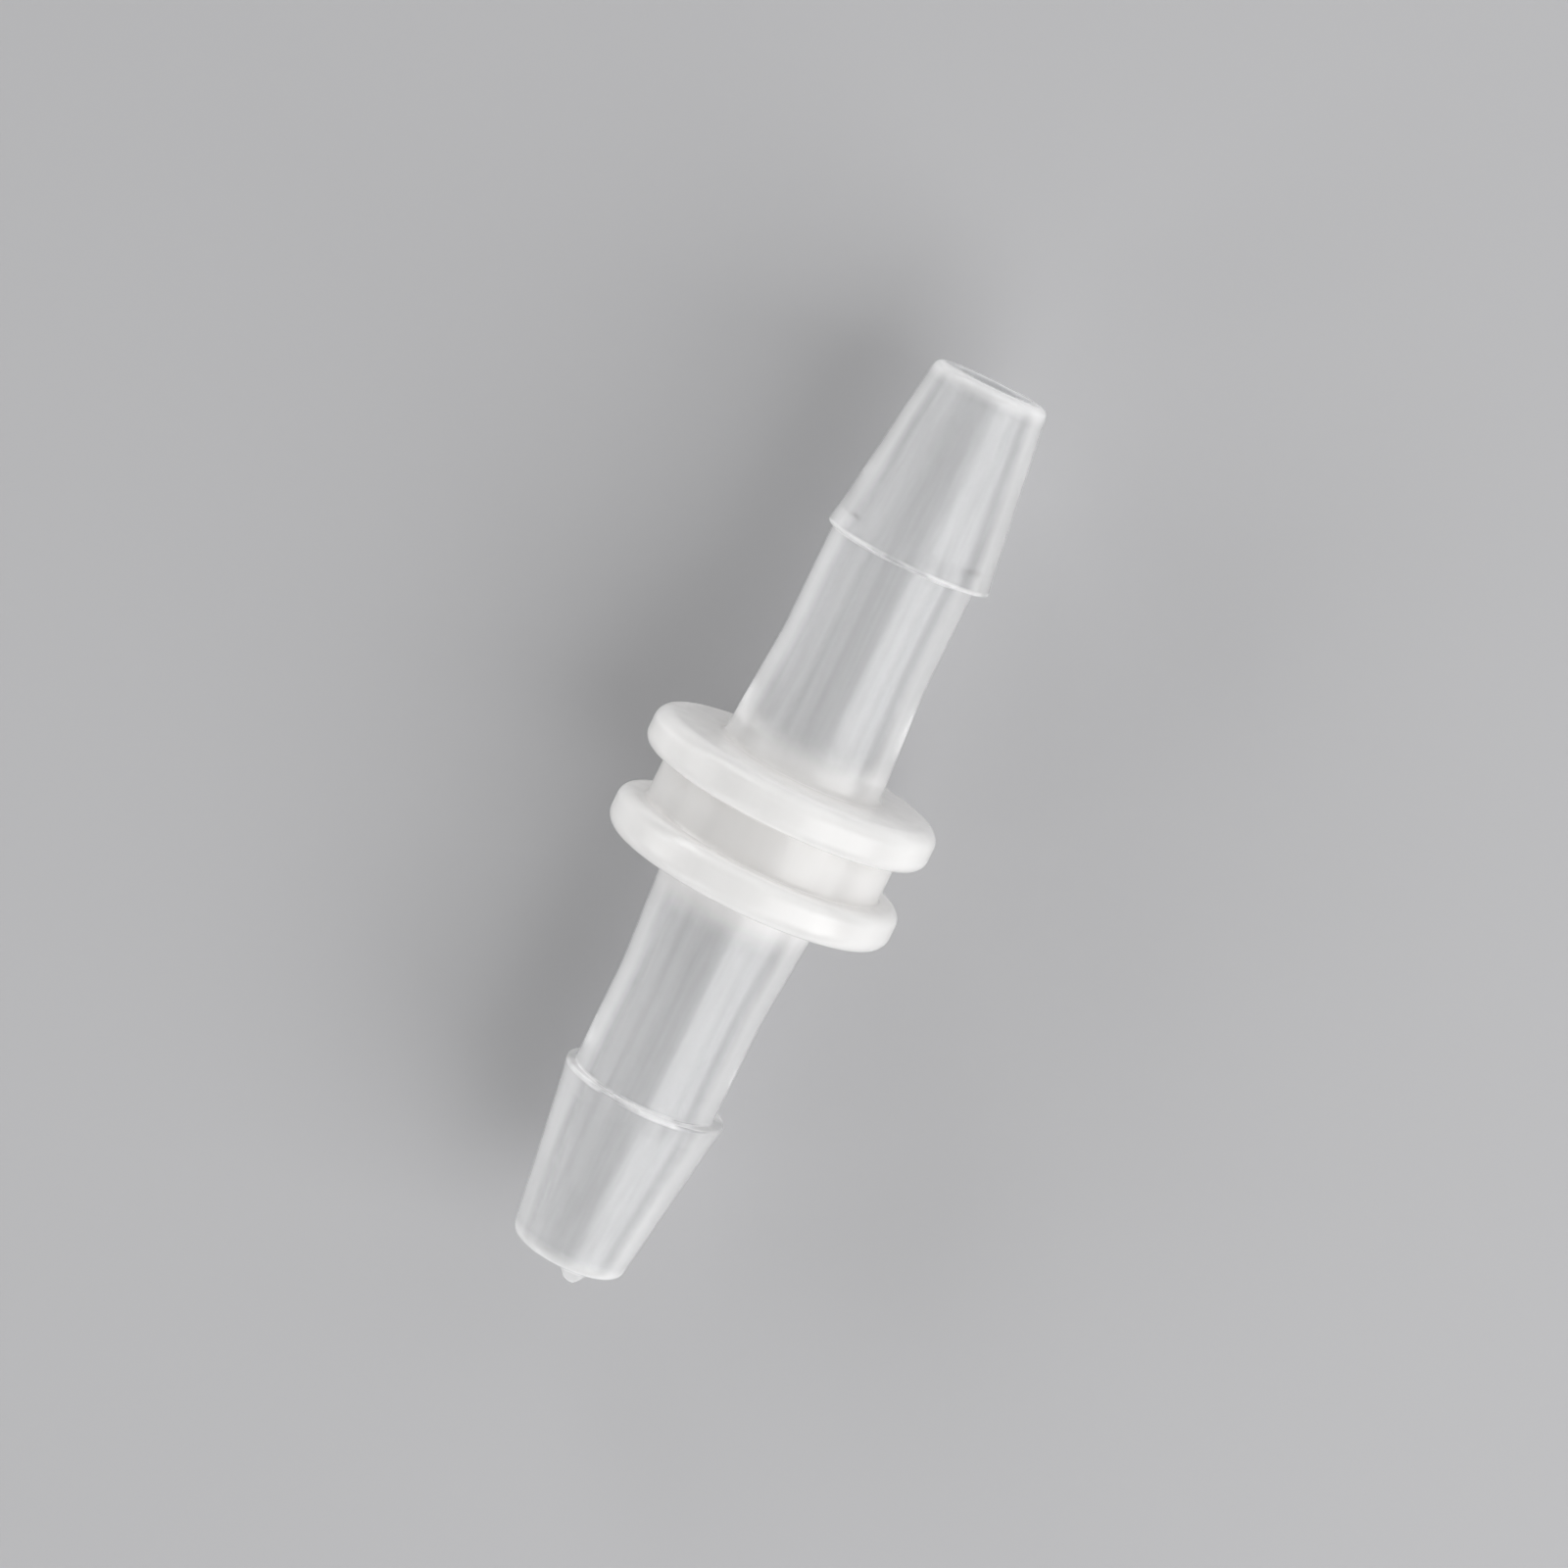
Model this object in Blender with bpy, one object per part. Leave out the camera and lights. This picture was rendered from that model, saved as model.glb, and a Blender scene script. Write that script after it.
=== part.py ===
"""A straight hose barb connector, moulded as one piece of milky polypropylene.

Metres, +Z up. The bore runs along X and the origin lies under the middle of the hub, on the surface
that the two flanges lie on. The gate end, with the stub left by the mould's gate, points along -X, and
the plain end along +X. All turned shapes are made about the X axis of the connector's own object.
"""

import math

import bmesh
import bpy
from mathutils import Matrix, Vector

MM = 0.001

# Whole connector, from nose face to nose face
CONNECTOR_LENGTH = 30.1 * MM

# Hub: two flanges with a groove between them
FLANGE_DIAMETER = 9.45 * MM
FLANGE_THICKNESS = 1.30 * MM
RIM_ROUNDING = 0.50 * MM
GROOVE_WIDTH = 1.46 * MM
GROOVE_FLOOR_DIAMETER = 7.80 * MM
GROOVE_FILLET = 0.12 * MM

# Stems: a cone at the hub that runs out into a cylinder
STEM_DIAMETER = 4.70 * MM
STEM_ROOT_DIAMETER = 5.22 * MM
ROOT_CONE_LENGTH = 3.70 * MM
ROOT_FILLET = 0.20 * MM

# Barbs: a cone from the nose back to a square shoulder, with a thin lip of flash at the shoulder's edge
BARB_LENGTH = 5.85 * MM
BARB_DIAMETER = 5.32 * MM
NOSE_DIAMETER = 3.68 * MM
NOSE_ROUNDING = 0.30 * MM
LIP_LENGTH = 0.70 * MM
LIP_HEIGHT = 0.035 * MM

# Sideways step between each end and the stems, where two parts of the mould met a little out of line. A barb
# and the core pin behind it sat in one part, so the wall is even round each nose.
PLAIN_END_STEP = 0.13 * MM
GATE_END_STEP = 0.05 * MM

# Bore: two core pins, each tapering inwards from its own nose, that met in the middle with a short slope
BORE_MOUTH_DIAMETER = 2.50 * MM
BORE_MIDDLE_DIAMETER = 2.30 * MM
PIN_SLOPE_LENGTH = 0.10 * MM

# Gate stub on the rim of the gate end, measured along the rim, across the wall and out from the nose face
STUB_WIDTH = 0.96 * MM
STUB_DEPTH = 0.52 * MM
STUB_HEIGHT = 0.38 * MM
# Width of the stub against its foot: above the foot's fillet, below the tip's rounding, and at the tip
STUB_WAIST_SHARE = 0.82
STUB_NECK_SHARE = 0.54
STUB_TIP_SHARE = 0.42
# Height of those first two levels against the whole stub
STUB_WAIST_LEVEL = 0.25
STUB_NECK_LEVEL = 0.80
STUB_TIP_SLANT = math.radians(14)
STUB_AROUND = math.radians(-17)

# How far one shape runs into the next before they are joined, and past the other before it is cut away
OVERLAP = 0.05 * MM
CUT_RUN_OUT = 0.50 * MM

SEGMENTS = 64
ARC_STEP = math.radians(18)
SHARP_ANGLE = math.radians(32)
STUB_SIDES = 16

HUB_HALF = GROOVE_WIDTH / 2 + FLANGE_THICKNESS
SHOULDER_X = CONNECTOR_LENGTH / 2 - BARB_LENGTH
# The connector lies on the rims of both flanges.
AXIS_HEIGHT = FLANGE_DIAMETER / 2


def rounded(corners):
    """Points of an outline of (x, radius) corners, with an arc in each corner that has a fillet.

    A fillet is no larger than fits on half of the shorter straight beside its corner.
    """
    points = []
    for index, (x, radius, fillet) in enumerate(corners):
        corner = Vector((x, radius))
        if fillet == 0.0:
            points.append(corner)
            continue
        back = Vector(corners[index - 1][:2]) - corner
        ahead = Vector(corners[index + 1][:2]) - corner
        half_angle = back.angle(ahead) / 2
        reach = min(fillet / math.tan(half_angle), back.length / 2, ahead.length / 2)
        bend = math.pi - 2 * half_angle
        arc_radius = reach * math.tan(half_angle)
        to_centre = (back.normalized() + ahead.normalized()).normalized()
        centre = corner + to_centre * math.hypot(reach, arc_radius)
        start = corner + back.normalized() * reach - centre
        turn = math.copysign(bend, back.cross(ahead))
        steps = max(2, round(bend / ARC_STEP))
        for step in range(steps + 1):
            arm = start.copy()
            arm.rotate(Matrix.Rotation(-turn * step / steps, 2))
            points.append(centre + arm)
    return points


def turned(name, profile, sideways=0.0):
    """A closed solid turned about X from (x, radius) points, with flat ends, moved sideways along -Y."""
    mesh_data = bmesh.new()
    row = [mesh_data.verts.new((point.x, 0.0, point.y)) for point in profile]
    edges = [mesh_data.edges.new(pair) for pair in zip(row, row[1:])]
    bmesh.ops.spin(
        mesh_data,
        geom=row + edges,
        cent=(0, 0, 0),
        axis=(1, 0, 0),
        angle=math.tau,
        steps=SEGMENTS,
        use_merge=True,
    )
    bmesh.ops.holes_fill(mesh_data, edges=mesh_data.edges, sides=SEGMENTS)
    bmesh.ops.translate(mesh_data, verts=mesh_data.verts, vec=(0, -sideways, 0))
    return finished(name, mesh_data)


def finished(name, mesh_data):
    """The object of a closed mesh, with its faces pointing out and its round surfaces shaded smooth."""
    bmesh.ops.recalc_face_normals(mesh_data, faces=mesh_data.faces)
    mesh = bpy.data.meshes.new(name)
    mesh_data.to_mesh(mesh)
    mesh_data.free()
    mesh.shade_smooth()
    mesh.set_sharp_from_angle(angle=SHARP_ANGLE)
    made = bpy.data.objects.new(name, mesh)
    bpy.context.collection.objects.link(made)
    return made


def hub_and_stems():
    """The two flanges, the groove between them and both stems, up to just inside the barbs."""
    half = [
        (GROOVE_WIDTH / 2, GROOVE_FLOOR_DIAMETER / 2, GROOVE_FILLET),
        (GROOVE_WIDTH / 2, FLANGE_DIAMETER / 2, RIM_ROUNDING),
        (HUB_HALF, FLANGE_DIAMETER / 2, RIM_ROUNDING),
        (HUB_HALF, STEM_ROOT_DIAMETER / 2, ROOT_FILLET),
        (HUB_HALF + ROOT_CONE_LENGTH, STEM_DIAMETER / 2, 0.0),
        (SHOULDER_X + OVERLAP, STEM_DIAMETER / 2, 0.0),
    ]
    mirrored = [(-x, radius, fillet) for x, radius, fillet in reversed(half)]
    return turned("barb_connector", rounded(mirrored + half))


def barb(name, direction, sideways):
    """One barb: square shoulder, thin lip, straight cone and rounded nose, pointing along direction."""
    taper = (NOSE_DIAMETER - BARB_DIAMETER) / 2 / BARB_LENGTH
    # The flat cap that closes the nose lies well inside the bore, which takes it away.
    cap_radius = BORE_MIDDLE_DIAMETER / 4
    corners = [
        (SHOULDER_X, BARB_DIAMETER / 2 + LIP_HEIGHT, 0.0),
        (SHOULDER_X + LIP_LENGTH, BARB_DIAMETER / 2 + taper * LIP_LENGTH, 0.0),
        (CONNECTOR_LENGTH / 2, NOSE_DIAMETER / 2, NOSE_ROUNDING),
        (CONNECTOR_LENGTH / 2, cap_radius, 0.0),
    ]
    profile = [Vector((direction * point.x, point.y)) for point in rounded(corners)]
    return turned(name, profile, sideways)


def gate_stub():
    """The torn stub of the gate: an oval frustum that stands on the nose's rim, with a slanted, rounded tip."""
    wall_middle = (BORE_MOUTH_DIAMETER + NOSE_DIAMETER - 2 * NOSE_ROUNDING) / 4
    # Height above the nose face, and width against the foot, of each level.
    levels = [
        (-OVERLAP, 1.0),
        (STUB_WAIST_LEVEL * STUB_HEIGHT, STUB_WAIST_SHARE),
        (STUB_NECK_LEVEL * STUB_HEIGHT, STUB_NECK_SHARE),
        (STUB_HEIGHT, STUB_TIP_SHARE),
    ]
    mesh_data = bmesh.new()
    rings = []
    for height, share in levels:
        ring = []
        for side in range(STUB_SIDES):
            angle = math.tau * side / STUB_SIDES
            along_rim = share * STUB_WIDTH / 2 * math.sin(angle)
            across_wall = share * STUB_DEPTH / 2 * math.cos(angle)
            lean = max(height, 0.0) / STUB_HEIGHT * along_rim * math.tan(STUB_TIP_SLANT)
            ring.append(
                mesh_data.verts.new((-CONNECTOR_LENGTH / 2 - height + lean, along_rim, wall_middle + across_wall))
            )
        rings.append(ring)
    for lower, upper in zip(rings, rings[1:]):
        for side in range(STUB_SIDES):
            after = (side + 1) % STUB_SIDES
            mesh_data.faces.new((lower[side], lower[after], upper[after], upper[side]))
    mesh_data.faces.new(rings[0])
    mesh_data.faces.new(rings[-1])
    around = Matrix.Rotation(-STUB_AROUND, 3, "X")
    bmesh.ops.rotate(mesh_data, verts=mesh_data.verts, cent=(0, 0, 0), matrix=around)
    bmesh.ops.translate(mesh_data, verts=mesh_data.verts, vec=(0, -GATE_END_STEP, 0))
    return finished("gate_stub_shape", mesh_data)


def core_pins():
    """Both pins that leave the bore, as one shape that runs in from past each nose.

    Each pin lies as far sideways as the barb of its own end, and a short slope joins the two in the middle.
    """
    past_nose = CONNECTOR_LENGTH / 2 + STUB_HEIGHT + CUT_RUN_OUT
    taper = (BORE_MOUTH_DIAMETER - BORE_MIDDLE_DIAMETER) / CONNECTOR_LENGTH
    profile = [
        Vector((x, BORE_MIDDLE_DIAMETER / 2 + taper * abs(x)))
        for x in (-past_nose, -PIN_SLOPE_LENGTH / 2, PIN_SLOPE_LENGTH / 2, past_nose)
    ]
    pins = turned("core_pins", profile)
    for vertex in pins.data.vertices:
        vertex.co.y -= PLAIN_END_STEP if vertex.co.x > 0 else GATE_END_STEP
    return pins


def joined(target, helper, operation):
    """A Boolean on the target, whose helper rides on it and is neither rendered nor built."""
    helper.parent = target
    helper.hide_render = True
    helper.display_type = "WIRE"
    step = target.modifiers.new(helper.name, "BOOLEAN")
    step.operation = operation
    step.solver = "EXACT"
    step.object = helper


def milky_polypropylene():
    """Unfilled polypropylene: milky, half clear, with the soft gloss of a plain mould wall."""
    material = bpy.data.materials.new("milky_polypropylene")
    material.use_nodes = True
    shader = material.node_tree.nodes["Principled BSDF"]
    shader.inputs["Base Color"].default_value = (0.83, 0.84, 0.83, 1.0)
    shader.inputs["Metallic"].default_value = 0.0
    shader.inputs["Roughness"].default_value = 0.30
    shader.inputs["IOR"].default_value = 1.49
    shader.inputs["Transmission Weight"].default_value = 0.45
    return material


for old in list(bpy.data.objects):
    bpy.data.objects.remove(old, do_unlink=True)

connector = hub_and_stems()
connector.location = (0.0, 0.0, AXIS_HEIGHT)
connector.data.materials.append(milky_polypropylene())
joined(connector, barb("plain_end_barb_shape", 1, PLAIN_END_STEP), "UNION")
joined(connector, barb("gate_end_barb_shape", -1, GATE_END_STEP), "UNION")
joined(connector, gate_stub(), "UNION")
joined(connector, core_pins(), "DIFFERENCE")
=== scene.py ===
"""Looks of a straight hose barb connector: one moulded piece of milky polypropylene, lying on its flanges.

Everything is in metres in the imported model's frame: the bore runs along X, the gate end points along -X,
and the surface that the connector lies on is Z = 0.
"""

import math

import bpy
import numpy as np
from mathutils import Matrix, Vector


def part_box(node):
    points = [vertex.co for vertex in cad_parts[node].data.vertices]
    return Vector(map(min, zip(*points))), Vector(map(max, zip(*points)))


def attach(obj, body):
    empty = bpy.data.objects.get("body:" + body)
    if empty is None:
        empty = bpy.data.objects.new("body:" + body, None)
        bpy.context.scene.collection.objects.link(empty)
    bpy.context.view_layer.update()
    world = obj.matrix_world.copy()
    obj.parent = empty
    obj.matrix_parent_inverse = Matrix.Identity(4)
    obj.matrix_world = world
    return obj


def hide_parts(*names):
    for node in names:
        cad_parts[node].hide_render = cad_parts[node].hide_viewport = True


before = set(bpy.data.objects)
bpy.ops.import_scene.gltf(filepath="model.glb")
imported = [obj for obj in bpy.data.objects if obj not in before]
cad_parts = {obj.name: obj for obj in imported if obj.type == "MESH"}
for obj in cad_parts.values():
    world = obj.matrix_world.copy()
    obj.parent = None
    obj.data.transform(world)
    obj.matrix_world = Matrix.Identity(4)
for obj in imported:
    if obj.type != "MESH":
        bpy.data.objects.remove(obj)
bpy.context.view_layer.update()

MM = 0.001

# Camera
# It looks down on the connector from 13 cm, leaning a little towards the plain end, and is turned so that
# the bore runs from lower left to upper right. The middle of the hub is a little off the picture's centre.
CAMERA_DISTANCE = 130.0 * MM
CAMERA_LEAN = math.radians(10.0)
CAMERA_ROLL = math.radians(25.97)
NEAREST_SEEN = 0.01
FARTHEST_SEEN = 5.0
PICTURE_SIDE = 1600
FOCAL_PIXELS = 4339
SENSOR_WIDTH = 36.0
HUB_IN_PICTURE = (788.6, 842.5)

lowest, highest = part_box("barb_connector")
axis_height = (lowest.z + highest.z) / 2
hub_middle = Vector((0.0, 0.0, axis_height))


def camera_axes():
    """Picture right, picture up and the way back to the camera, as vectors of the model's frame.

    Looking straight down with the bore upright in the picture they are -Y, +X and +Z. The lean turns them
    about Y, and the roll turns the picture about the line of sight.
    """
    right = Vector((0.0, -1.0, 0.0))
    up = Vector((math.cos(CAMERA_LEAN), 0.0, -math.sin(CAMERA_LEAN)))
    back = Vector((math.sin(CAMERA_LEAN), 0.0, math.cos(CAMERA_LEAN)))
    roll = Matrix.Rotation(CAMERA_ROLL, 3, back)
    return roll @ right, roll @ up, back


picture_right, picture_up, towards_camera = camera_axes()
hub_right = (HUB_IN_PICTURE[0] - PICTURE_SIDE / 2) / FOCAL_PIXELS * CAMERA_DISTANCE
hub_up = (PICTURE_SIDE / 2 - HUB_IN_PICTURE[1]) / FOCAL_PIXELS * CAMERA_DISTANCE
camera_place = hub_middle + towards_camera * CAMERA_DISTANCE - picture_right * hub_right - picture_up * hub_up
camera_turn = Matrix((picture_right, picture_up, towards_camera)).transposed()
camera_data = bpy.data.cameras.new("camera")
camera_data.sensor_width = SENSOR_WIDTH
camera_data.lens = FOCAL_PIXELS / PICTURE_SIDE * SENSOR_WIDTH
camera_data.clip_start = NEAREST_SEEN
camera_data.clip_end = FARTHEST_SEEN
camera = bpy.data.objects.new("camera", camera_data)
bpy.context.scene.collection.objects.link(camera)
camera.matrix_world = Matrix.Translation(camera_place) @ camera_turn.to_4x4()
bpy.context.scene.camera = camera

# Connector
# The real piece is injection moulded in polypropylene: a grooved double flange, two stems, and a barb with a
# square shoulder on each. The mould's parts met a little out of line at the shoulders, which left a small
# step and a lip of flash there, and the gate left a torn stub on the nose of one end.
CONNECTOR_LENGTH = 30.1 * MM
FLANGE_DIAMETER = 9.45 * MM
FLANGE_THICKNESS = 1.30 * MM
RIM_ROUNDING = 0.50 * MM
GROOVE_WIDTH = 1.46 * MM
GROOVE_FLOOR_DIAMETER = 7.80 * MM
GROOVE_FILLET = 0.12 * MM
STEM_DIAMETER = 4.70 * MM
STEM_ROOT_DIAMETER = 5.22 * MM
ROOT_CONE_LENGTH = 3.70 * MM
ROOT_CONE_BLEND = 6.0 * MM
ROOT_FILLET = 0.20 * MM
BARB_LENGTH = 5.85 * MM
BARB_DIAMETER = 5.32 * MM
SHOULDER_FILLET = 0.06 * MM
NOSE_DIAMETER = 3.68 * MM
NOSE_ROUNDING = 0.30 * MM
PLAIN_END_STEP = 0.13 * MM
GATE_END_STEP = 0.05 * MM
BORE_MOUTH_DIAMETER = 2.50 * MM
BORE_MIDDLE_DIAMETER = 2.30 * MM
BORE_EDGE = 0.08 * MM
PIN_END = 0.05 * MM
PIN_END_EDGE = 0.05 * MM

# Lip of flash. What stands above the barb's diameter swells and fades round it by this share, in waves of
# (how many round the lip, share of the swell, where the first one starts).
LIP_LENGTH = 0.70 * MM
LIP_HEIGHT = 0.035 * MM
LIP_EDGE = 0.08 * MM
LIP_BLEND = 2.0 * MM
LIP_UNEVENNESS = 0.3
LIP_WAVES = ((1, 0.5, -1.3), (3, 0.3, 0.4), (7, 0.2, 2.1))

# Gate stub
STUB_WIDTH = 0.96 * MM
STUB_DEPTH = 0.52 * MM
STUB_HEIGHT = 0.38 * MM
STUB_TIP_SHARE = 0.42
STUB_TIP_SLANT = math.radians(14)
STUB_AROUND = math.radians(-17)
STUB_BLEND = 0.03 * MM

# Fineness of the mesh, and the most of a straight that the arc at one of its ends may take
COLUMNS = 224
LONGEST_STEP = 0.35 * MM
ARC_STEP = math.radians(9)
ARC_REACH_SHARE = 0.49

hub_half = GROOVE_WIDTH / 2 + FLANGE_THICKNESS
shoulder_x = CONNECTOR_LENGTH / 2 - BARB_LENGTH
nose_x = CONNECTOR_LENGTH / 2


def half_outline(step):
    """Corners (x, radius, fillet, sideways) of one half, from the groove to the nose and in by the bore."""
    taper = (NOSE_DIAMETER - BARB_DIAMETER) / 2 / BARB_LENGTH
    return [
        (GROOVE_WIDTH / 2, GROOVE_FLOOR_DIAMETER / 2, GROOVE_FILLET, 0.0),
        (GROOVE_WIDTH / 2, FLANGE_DIAMETER / 2, RIM_ROUNDING, 0.0),
        (hub_half, FLANGE_DIAMETER / 2, RIM_ROUNDING, 0.0),
        (hub_half, STEM_ROOT_DIAMETER / 2, ROOT_FILLET, 0.0),
        (hub_half + ROOT_CONE_LENGTH, STEM_DIAMETER / 2, ROOT_CONE_BLEND, 0.0),
        (shoulder_x, STEM_DIAMETER / 2, SHOULDER_FILLET, 0.0),
        (shoulder_x, BARB_DIAMETER / 2 + LIP_HEIGHT, LIP_EDGE, step),
        (shoulder_x + LIP_LENGTH, BARB_DIAMETER / 2 + taper * LIP_LENGTH, LIP_BLEND, step),
        (nose_x, NOSE_DIAMETER / 2, NOSE_ROUNDING, step),
        (nose_x, BORE_MOUTH_DIAMETER / 2, BORE_EDGE, step),
        (PIN_END, BORE_MIDDLE_DIAMETER / 2, PIN_END_EDGE, step),
    ]


def closed_outline(corners):
    """Rows (x, radius, sideways) round the closed outline of corners, and the corner each row belongs to.

    Each corner becomes an arc of its fillet. The rows of a straight are spaced as the cosine of even angles,
    so they crowd towards the arcs at its ends and the shading stays true there. They belong to the corner
    before the straight, plus a half.
    """
    places = np.array(corners)
    arcs = []
    for index, (_, _, fillet, step) in enumerate(corners):
        corner = places[index, :2]
        back = places[index - 1, :2] - corner
        ahead = places[(index + 1) % len(corners), :2] - corner
        back_length, ahead_length = np.linalg.norm(back), np.linalg.norm(ahead)
        back, ahead = back / back_length, ahead / ahead_length
        half_angle = math.acos(np.clip(back @ ahead, -1, 1)) / 2
        most = ARC_REACH_SHARE * min(back_length, ahead_length)
        reach = min(fillet / math.tan(half_angle), most)
        bend = math.pi - 2 * half_angle
        arc_radius = reach * math.tan(half_angle)
        inward = (back + ahead) / np.linalg.norm(back + ahead)
        centre = corner + inward * math.hypot(reach, arc_radius)
        start = corner + back * reach - centre
        sense = -np.sign(back[0] * ahead[1] - back[1] * ahead[0])
        turn = sense * np.linspace(0, bend, max(3, math.ceil(bend / ARC_STEP)) + 1)
        arc = np.stack(
            [
                centre[0] + start[0] * np.cos(turn) - start[1] * np.sin(turn),
                centre[1] + start[0] * np.sin(turn) + start[1] * np.cos(turn),
                np.full_like(turn, step),
            ],
            axis=1,
        )
        arcs.append(arc)
    rows, owners = [], []
    for index, arc in enumerate(arcs):
        after = arcs[(index + 1) % len(arcs)]
        run = np.linalg.norm(after[0, :2] - arc[-1, :2])
        count = math.ceil(run / LONGEST_STEP) + 2
        share = (1 - np.cos(np.linspace(0, math.pi, count + 1)[1:-1])) / 2
        straight = arc[-1] + share[:, None] * (after[0] - arc[-1])
        rows += [arc, straight]
        owners += [np.full(len(arc), index), np.full(len(straight), index + 0.5)]
    return np.concatenate(rows), np.concatenate(owners)


def with_stub(points, on_nose):
    """The points with the torn gate stub raised on the gate end's nose.

    The stub is an oval frustum as a height over the nose face: full inside its tip, falling evenly to the
    foot, with its top slanted along the rim. A soft minimum joins it to the nose.
    """
    wall_middle = (BORE_MOUTH_DIAMETER + NOSE_DIAMETER - 2 * NOSE_ROUNDING) / 4
    across = points[..., 1] + GATE_END_STEP
    up = points[..., 2] - axis_height
    along_rim = across * math.cos(STUB_AROUND) - up * math.sin(STUB_AROUND)
    outward = across * math.sin(STUB_AROUND) + up * math.cos(STUB_AROUND) - wall_middle
    oval = np.hypot(along_rim / (STUB_WIDTH / 2), outward / (STUB_DEPTH / 2))
    height = STUB_HEIGHT * np.minimum((1 - oval) / (1 - STUB_TIP_SHARE), 1)
    height = height - np.clip(height, 0, None) / STUB_HEIGHT * along_rim * math.tan(STUB_TIP_SLANT)
    raised = -nose_x - height
    flat = points[..., 0]
    gap = np.clip(0.5 + 0.5 * (flat - raised) / STUB_BLEND, 0, 1)
    joined = flat + (raised - flat) * gap - STUB_BLEND * gap * (1 - gap)
    moved = points.copy()
    moved[..., 0] = np.where(on_nose[:, None], joined, flat)
    return moved


def ring_grid(rows, angles, radius):
    """Points of rows turned about the bore, by angles from straight up, and then moved sideways along -Y."""
    return np.stack(
        [
            np.broadcast_to(rows[:, 0:1], radius.shape),
            -radius * np.sin(angles) - rows[:, 2:3],
            radius * np.cos(angles) + axis_height,
        ],
        axis=2,
    )


def ring_faces(row_count):
    """Four-sided faces between neighbouring rows and columns of a grid that is closed both ways."""
    row = np.arange(row_count)[:, None]
    column = np.arange(COLUMNS)[None, :]
    next_row = (row + 1) % row_count
    next_column = (column + 1) % COLUMNS
    return np.stack(
        [
            row * COLUMNS + column,
            row * COLUMNS + next_column,
            next_row * COLUMNS + next_column,
            next_row * COLUMNS + column,
        ],
        axis=2,
    ).reshape(-1, 4)


plain_half = half_outline(PLAIN_END_STEP)
gate_half = [(-x, radius, fillet, step) for x, radius, fillet, step in half_outline(GATE_END_STEP)]
rows, owners = closed_outline(gate_half[::-1] + plain_half)
angles = np.linspace(0, math.tau, COLUMNS, endpoint=False)

# The pins' end, the bore's mouth and the nose's edge are the gate half's first corners, 0 to 2.
on_gate_nose = (owners > 0.5) & (owners < 2.5)
on_barb = np.abs(rows[:, 0]) > shoulder_x - SHOULDER_FILLET
lip = np.where(on_barb, np.clip(rows[:, 1] - BARB_DIAMETER / 2, 0, None), 0.0)
swell = sum(share * np.cos(count * angles + start) for count, share, start in LIP_WAVES)
uneven_radius = rows[:, 1:2] + LIP_UNEVENNESS * lip[:, None] * swell
grid = with_stub(ring_grid(rows, angles, uneven_radius), on_gate_nose)

mesh = bpy.data.meshes.new("connector_body")
mesh.from_pydata(grid.reshape(-1, 3), [], ring_faces(len(rows)))
mesh.shade_smooth()
connector = bpy.data.objects.new("connector_body", mesh)
bpy.context.scene.collection.objects.link(connector)

# Milky polypropylene: the colours of the clear stems and of the thick hub, and a darker cool grey on the
# bore's wall that is painted shade for the dim core seen through the skin
STEM_COLOUR = (0.91, 0.91, 0.915, 1.0)
HUB_COLOUR = (0.86, 0.85, 0.84, 1.0)
BORE_PAINTED_SHADE_COLOUR = (0.77, 0.775, 0.785, 1.0)
PLASTIC_IOR = 1.49
SCATTER_DEPTH = 1.5 * MM

# Share of the light that goes through a stem's skin, seen face on and edge on, and through the bore's wall
CLEAR_FACE_ON = 0.84
CLEAR_EDGE_ON = 0.47
CLEAR_AT_BORE = 0.12
EDGE_ON_SLANTS = (0.28, 0.52)

# How much of that is left in the hub, at the noses' rims, along the lips (where the flash is whole, and where
# it is torn) and in the streaks, and the ranges of the noise that set the last two
CLEAR_LEFT_IN_HUB = 0.25
CLEAR_LEFT_AT_NOSE = 0.35
CLEAR_LEFT_AT_LIP = (0.40, 0.95)
CLEAR_LEFT_IN_STREAKS = (0.97, 1.03)
TORN_RANGE = (0.40, 0.60)
NOISE_RANGE = (0.3, 0.7)

# Distances from the hub's middle over which its whiteness runs out and a nose's sets in, how far a lip's line
# reaches either way from its own middle, how far that lies past the shoulder, and how far past the bore's
# wall the outside begins
HUB_FADE = (hub_half - 0.2 * MM, hub_half + 1.7 * MM)
NOSE_FADE = (nose_x - 0.60 * MM, nose_x - 0.10 * MM)
LIP_FADE = (0.05 * MM, 0.14 * MM)
LIP_LINE_PAST_SHOULDER = 0.04 * MM
BORE_WALL_MARGIN = 0.02 * MM

# Noise, in cycles per metre along X, Y and Z: flow streaks along the bore, tears of the lip, and a fine peel
STREAK_SCALE = (90.0, 1800.0, 1800.0)
TEAR_SCALE = (300.0, 700.0, 700.0)
PEEL_SCALE = (1700.0, 1700.0, 1700.0)
NOISE_DETAIL = 2.0
PEEL_ROUGHNESS = (0.14, 0.19)
HUB_ROUGHNESS_ADDED = 0.07
RIDGE_STRENGTH = 0.03
RIDGE_DEPTH = 0.01 * MM


def feed(tree, socket, value):
    """Give an input another node's output, or else a number or a colour of its own."""
    if isinstance(value, bpy.types.NodeSocket):
        tree.links.new(value, socket)
    else:
        socket.default_value = value


def arithmetic(tree, operation, *values):
    """Output of a Math node."""
    node = tree.nodes.new("ShaderNodeMath")
    node.operation = operation
    for socket, value in zip(node.inputs, values):
        feed(tree, socket, value)
    return node.outputs[0]


def ramp(tree, value, start, end, at_start, at_end):
    """A smooth change from at_start to at_end while the value goes from start to end."""
    node = tree.nodes.new("ShaderNodeMapRange")
    node.interpolation_type = "SMOOTHSTEP"
    for socket, given in zip(node.inputs, (value, start, end, at_start, at_end)):
        feed(tree, socket, given)
    return node.outputs[0]


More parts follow.
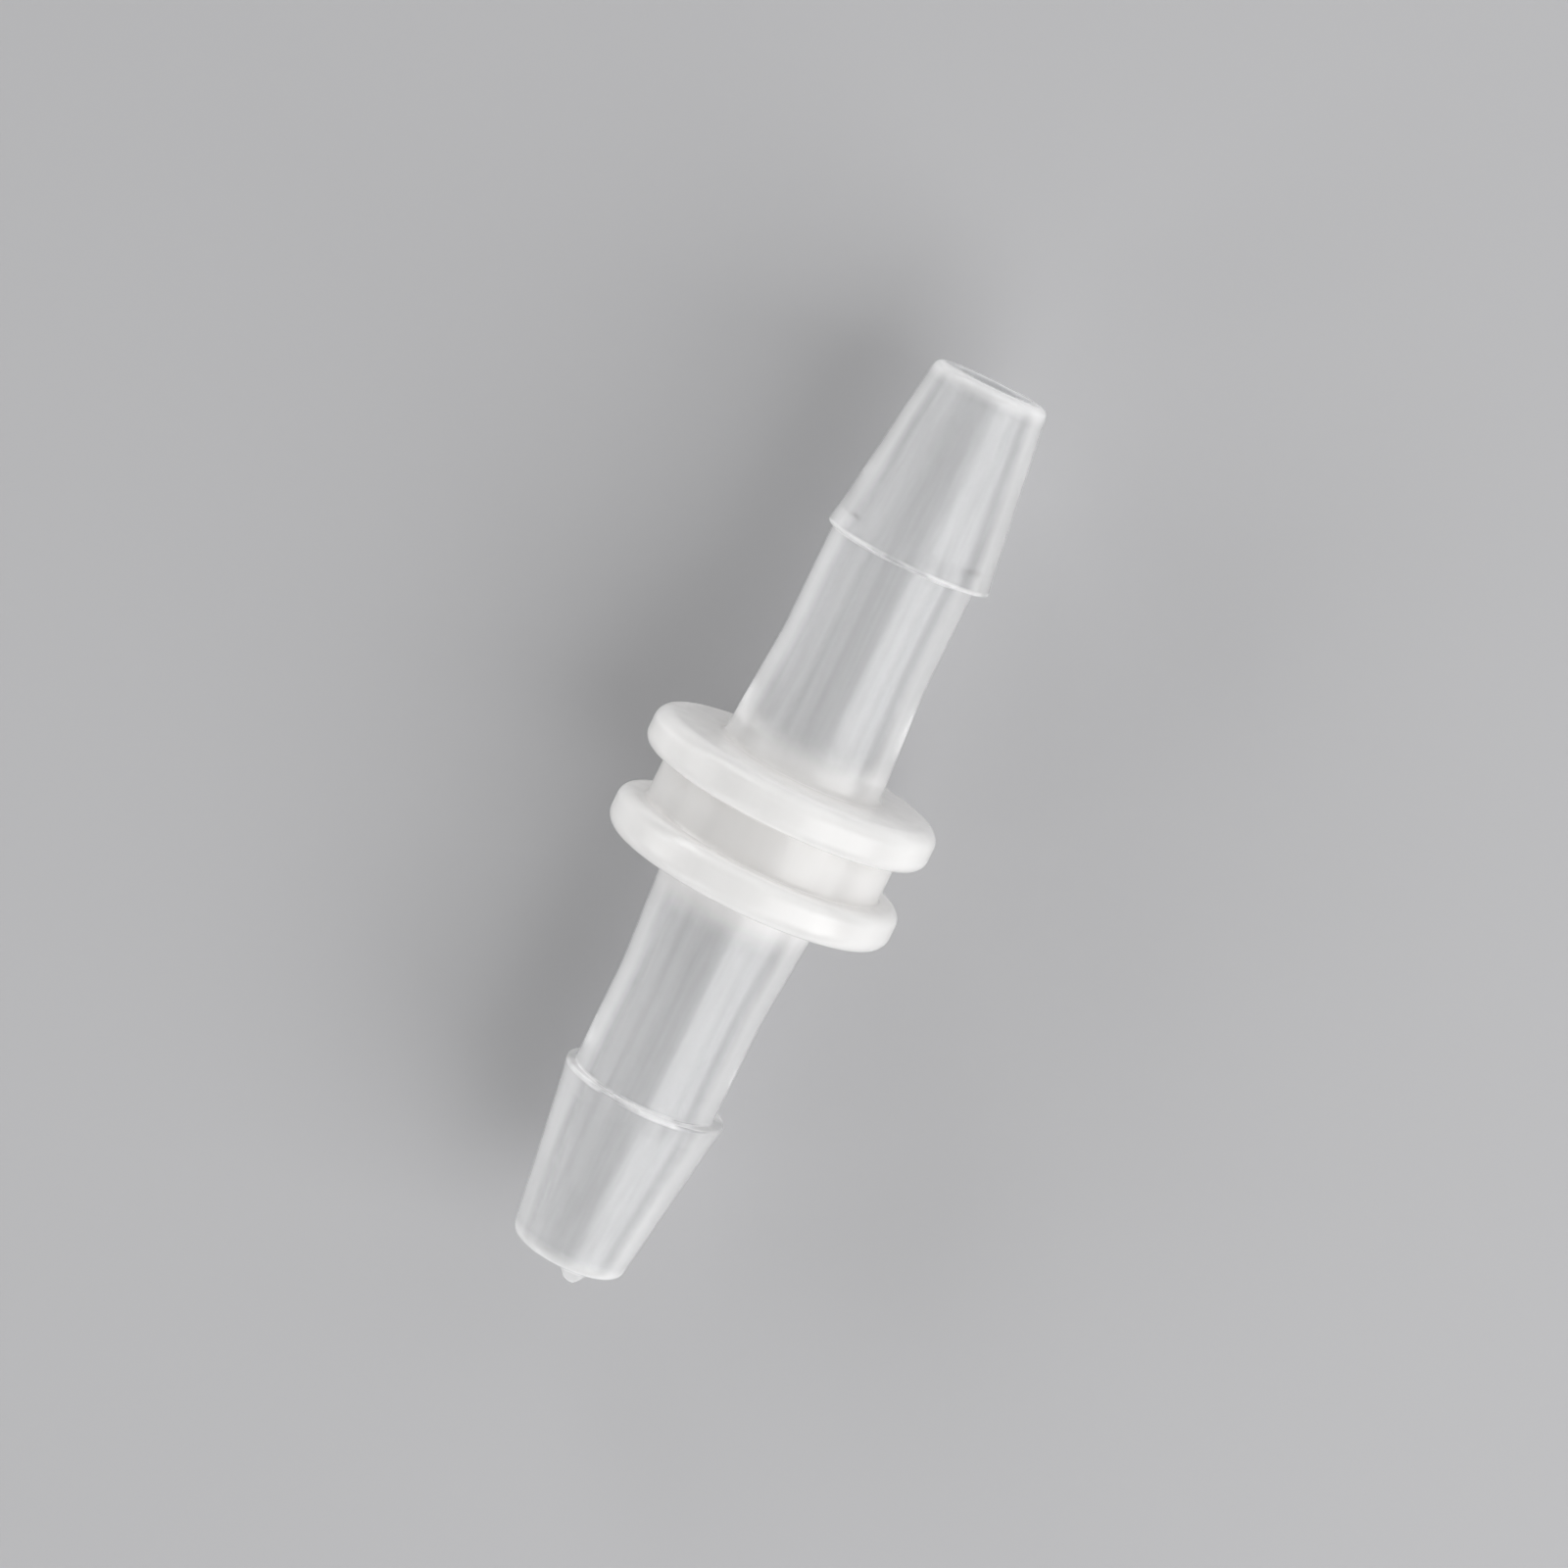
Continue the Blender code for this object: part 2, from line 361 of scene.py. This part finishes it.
def mixed_colour(tree, share, first, second):
    """A colour that goes from the first to the second as the share goes from 0 to 1.

    A Mix node has its colours at inputs 6 and 7 and at output 2.
    """
    node = tree.nodes.new("ShaderNodeMix")
    node.data_type = "RGBA"
    for index, value in ((0, share), (6, first), (7, second)):
        feed(tree, node.inputs[index], value)
    return node.outputs[2]


def noise(tree, place, scale):
    """Noise on the object's own coordinates, with a scale for each axis in cycles per metre."""
    stretch = tree.nodes.new("ShaderNodeMapping")
    stretch.inputs["Scale"].default_value = scale
    tree.links.new(place, stretch.inputs["Vector"])
    texture = tree.nodes.new("ShaderNodeTexNoise")
    texture.inputs["Scale"].default_value = 1.0
    texture.inputs["Detail"].default_value = NOISE_DETAIL
    tree.links.new(stretch.outputs["Vector"], texture.inputs["Vector"])
    return texture.outputs["Fac"]


def skin_clearness(tree, place, streaks, along, in_hub):
    """Share of the light that goes through the outer skin.

    It falls where the wall is seen edge on. The flow streaks, the hub, the noses' rims and the lips each take
    it down by their own share. A lip's line is broken, because the flash is torn.
    """
    slant = tree.nodes.new("ShaderNodeLayerWeight").outputs["Facing"]
    from_lip_line = arithmetic(tree, "SUBTRACT", along, shoulder_x + LIP_LINE_PAST_SHOULDER)
    from_lip_line = arithmetic(tree, "ABSOLUTE", from_lip_line)
    left_at_lip = ramp(tree, noise(tree, place, TEAR_SCALE), *TORN_RANGE, *CLEAR_LEFT_AT_LIP)
    clear = ramp(tree, slant, *EDGE_ON_SLANTS, CLEAR_FACE_ON, CLEAR_EDGE_ON)
    for left in (
        ramp(tree, streaks, *NOISE_RANGE, *CLEAR_LEFT_IN_STREAKS),
        ramp(tree, in_hub, 0.0, 1.0, 1.0, CLEAR_LEFT_IN_HUB),
        ramp(tree, along, *NOSE_FADE, 1.0, CLEAR_LEFT_AT_NOSE),
        ramp(tree, from_lip_line, *LIP_FADE, left_at_lip, 1.0),
    ):
        clear = arithmetic(tree, "MULTIPLY", clear, left)
    return clear


def milky_polypropylene():
    """Unfilled polypropylene: a soft white haze on clear plastic, a little warm where it is thick.

    Outside, part of the light scatters just under the skin and the rest goes through, least where the wall is
    seen edge on. The bore's wall lets less through, as the core pins leave it, and shows through the skin;
    its darker cool grey is painted shade for the dim core. The thick hub, the noses and the lips are the
    whitest, and what is met from inside the plastic is clear.
    """
    material = bpy.data.materials.new("milky_polypropylene")
    material.use_nodes = True
    tree = material.node_tree
    shader = tree.nodes["Principled BSDF"]
    shader.inputs["IOR"].default_value = PLASTIC_IOR
    shader.inputs["Subsurface Radius"].default_value = (1.0, 1.0, 1.0)
    shader.inputs["Subsurface Scale"].default_value = SCATTER_DEPTH

    place = tree.nodes.new("ShaderNodeTexCoord").outputs["Object"]
    apart = tree.nodes.new("ShaderNodeSeparateXYZ")
    tree.links.new(place, apart.inputs["Vector"])
    along = arithmetic(tree, "ABSOLUTE", apart.outputs["X"])
    up = arithmetic(tree, "SUBTRACT", apart.outputs["Z"], axis_height)
    across_squared = arithmetic(tree, "MULTIPLY", apart.outputs["Y"], apart.outputs["Y"])
    up_squared = arithmetic(tree, "MULTIPLY", up, up)
    from_axis = arithmetic(tree, "SQRT", arithmetic(tree, "ADD", across_squared, up_squared))
    in_hub = ramp(tree, along, *HUB_FADE, 1.0, 0.0)
    bore_wall = BORE_MOUTH_DIAMETER / 2 + PLAIN_END_STEP + BORE_WALL_MARGIN
    off_bore = ramp(tree, from_axis, bore_wall, bore_wall + BORE_WALL_MARGIN, 0.0, 1.0)
    inside = tree.nodes.new("ShaderNodeNewGeometry").outputs["Backfacing"]
    streaks = noise(tree, place, STREAK_SCALE)

    skin_colour = mixed_colour(tree, in_hub, STEM_COLOUR, HUB_COLOUR)
    # The bore's wall takes the darker cool grey, painted shade for the dim core seen through the skin.
    tree.links.new(mixed_colour(tree, off_bore, BORE_PAINTED_SHADE_COLOUR, skin_colour), shader.inputs["Base Color"])

    clear = arithmetic(tree, "MAXIMUM", skin_clearness(tree, place, streaks, along, in_hub), inside)
    tree.links.new(ramp(tree, off_bore, 0.0, 1.0, CLEAR_AT_BORE, clear), shader.inputs["Transmission Weight"])
    deep = arithmetic(tree, "MULTIPLY", off_bore, arithmetic(tree, "SUBTRACT", 1.0, inside))
    tree.links.new(deep, shader.inputs["Subsurface Weight"])

    peel = ramp(tree, noise(tree, place, PEEL_SCALE), *NOISE_RANGE, *PEEL_ROUGHNESS)
    hub_haze = ramp(tree, in_hub, 0.0, 1.0, 0.0, HUB_ROUGHNESS_ADDED)
    tree.links.new(arithmetic(tree, "ADD", peel, hub_haze), shader.inputs["Roughness"])
    ridges = tree.nodes.new("ShaderNodeBump")
    ridges.inputs["Strength"].default_value = RIDGE_STRENGTH
    ridges.inputs["Distance"].default_value = RIDGE_DEPTH
    tree.links.new(streaks, ridges.inputs["Height"])
    tree.links.new(ridges.outputs["Normal"], shader.inputs["Normal"])
    return material


mesh.materials.append(milky_polypropylene())
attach(connector, "root")
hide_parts("barb_connector")

# Floor
# A plain pale matt surface that the connector lies on. It isn't part of the object.
FLOOR_REACH = 0.60
FLOOR_DROP = 0.005 * MM
FLOOR_COLOUR = (0.50, 0.50, 0.51, 1.0)
FLOOR_ROUGHNESS = 0.9
FLOOR_SHINE = 0.1

floor_z = lowest.z - FLOOR_DROP
corner_signs = ((-1, -1), (1, -1), (1, 1), (-1, 1))
floor_corners = [(sx * FLOOR_REACH, sy * FLOOR_REACH, floor_z) for sx, sy in corner_signs]
floor_mesh = bpy.data.meshes.new("floor")
floor_mesh.from_pydata(floor_corners, [], [(0, 1, 2, 3)])
floor = bpy.data.objects.new("floor", floor_mesh)
bpy.context.scene.collection.objects.link(floor)
floor_finish = bpy.data.materials.new("pale_floor")
floor_finish.use_nodes = True
floor_shader = floor_finish.node_tree.nodes["Principled BSDF"]
floor_shader.inputs["Base Color"].default_value = FLOOR_COLOUR
floor_shader.inputs["Roughness"].default_value = FLOOR_ROUGHNESS
floor_shader.inputs["Specular IOR Level"].default_value = FLOOR_SHINE
floor_mesh.materials.append(floor_finish)

# Light
# A dim room with two soft lamps beside the bore on the right of the picture, one low and one higher, and a
# pale wall behind them. A strip low on the left and the room's ends give the other sides their light.
ROOM_LIGHT = 0.10
RIGHT_WALL_LIGHT = 0.45
FAR_RIGHT_LIGHT = 0.25
LOW_LEFT_LIGHT = 2.0
LEFT_CORNER_LIGHT = 2.5
PLAIN_END_LIGHT = 0.80
GATE_END_LIGHT = 0.35

# Where each begins and ends, as the part of a direction that points right (negative: left) or along the bore
RIGHT_WALL_EDGE = (0.12, 0.20)
FAR_RIGHT_EDGE = (0.80, 0.92)
LOW_LEFT_EDGE = (-0.85, -0.75)
LEFT_CORNER_EDGE = (-0.5, -0.3)
LEFT_CORNER_END_EDGE = (0.55, 0.75)
PLAIN_END_EDGE = (0.5, 0.7)
GATE_END_EDGE = (-0.7, -0.5)

LAMP_DISTANCE = 0.38
LAMP_LENGTH = 0.36
LAMP_SHIFT = -0.065
LOW_LAMP_POWER = 0.75
LOW_LAMP_WIDTH = 0.22
LOW_LAMP_HEIGHT = math.radians(27)
HIGH_LAMP_POWER = 0.43
HIGH_LAMP_WIDTH = 0.16
HIGH_LAMP_HEIGHT = math.radians(56)

world = bpy.data.worlds.new("room")
world.use_nodes = True
room = world.node_tree
direction = room.nodes.new("ShaderNodeSeparateXYZ")
room.links.new(room.nodes.new("ShaderNodeTexCoord").outputs["Generated"], direction.inputs["Vector"])
rightward = arithmetic(room, "MULTIPLY", direction.outputs["Y"], -1.0)
plainward = direction.outputs["X"]
endward = arithmetic(room, "ABSOLUTE", plainward)
left_corners = arithmetic(
    room,
    "MULTIPLY",
    ramp(room, rightward, *LEFT_CORNER_EDGE, LEFT_CORNER_LIGHT, 0.0),
    ramp(room, endward, *LEFT_CORNER_END_EDGE, 0.0, 1.0),
)
strength = ramp(room, rightward, *RIGHT_WALL_EDGE, ROOM_LIGHT, RIGHT_WALL_LIGHT)
for change in (
    ramp(room, rightward, *FAR_RIGHT_EDGE, 0.0, FAR_RIGHT_LIGHT - RIGHT_WALL_LIGHT),
    ramp(room, rightward, *LOW_LEFT_EDGE, LOW_LEFT_LIGHT, 0.0),
    ramp(room, plainward, *PLAIN_END_EDGE, 0.0, PLAIN_END_LIGHT),
    ramp(room, plainward, *GATE_END_EDGE, GATE_END_LIGHT, 0.0),
    left_corners,
):
    strength = arithmetic(room, "ADD", strength, change)
background = room.nodes["Background"]
background.inputs["Color"].default_value = (1.0, 1.0, 1.0, 1.0)
room.links.new(strength, background.inputs["Strength"])
bpy.context.scene.world = world


def soft_lamp(name, power, width, height_angle):
    """A rectangle of light along the bore, on the right of the picture at that angle above the hub."""
    beside = LAMP_DISTANCE * Vector((0.0, -math.cos(height_angle), math.sin(height_angle)))
    place = hub_middle + beside + Vector((LAMP_SHIFT, 0.0, 0.0))
    data = bpy.data.lights.new(name, "AREA")
    data.shape = "RECTANGLE"
    data.size = LAMP_LENGTH
    data.size_y = width
    data.energy = power
    lamp = bpy.data.objects.new(name, data)
    turn = (hub_middle - place).to_track_quat("-Z", "Y").to_matrix().to_4x4()
    lamp.matrix_world = Matrix.Translation(place) @ turn
    bpy.context.scene.collection.objects.link(lamp)


soft_lamp("lamp_low", LOW_LAMP_POWER, LOW_LAMP_WIDTH, LOW_LAMP_HEIGHT)
soft_lamp("lamp_high", HIGH_LAMP_POWER, HIGH_LAMP_WIDTH, HIGH_LAMP_HEIGHT)

bpy.context.scene.view_settings.view_transform = "Standard"
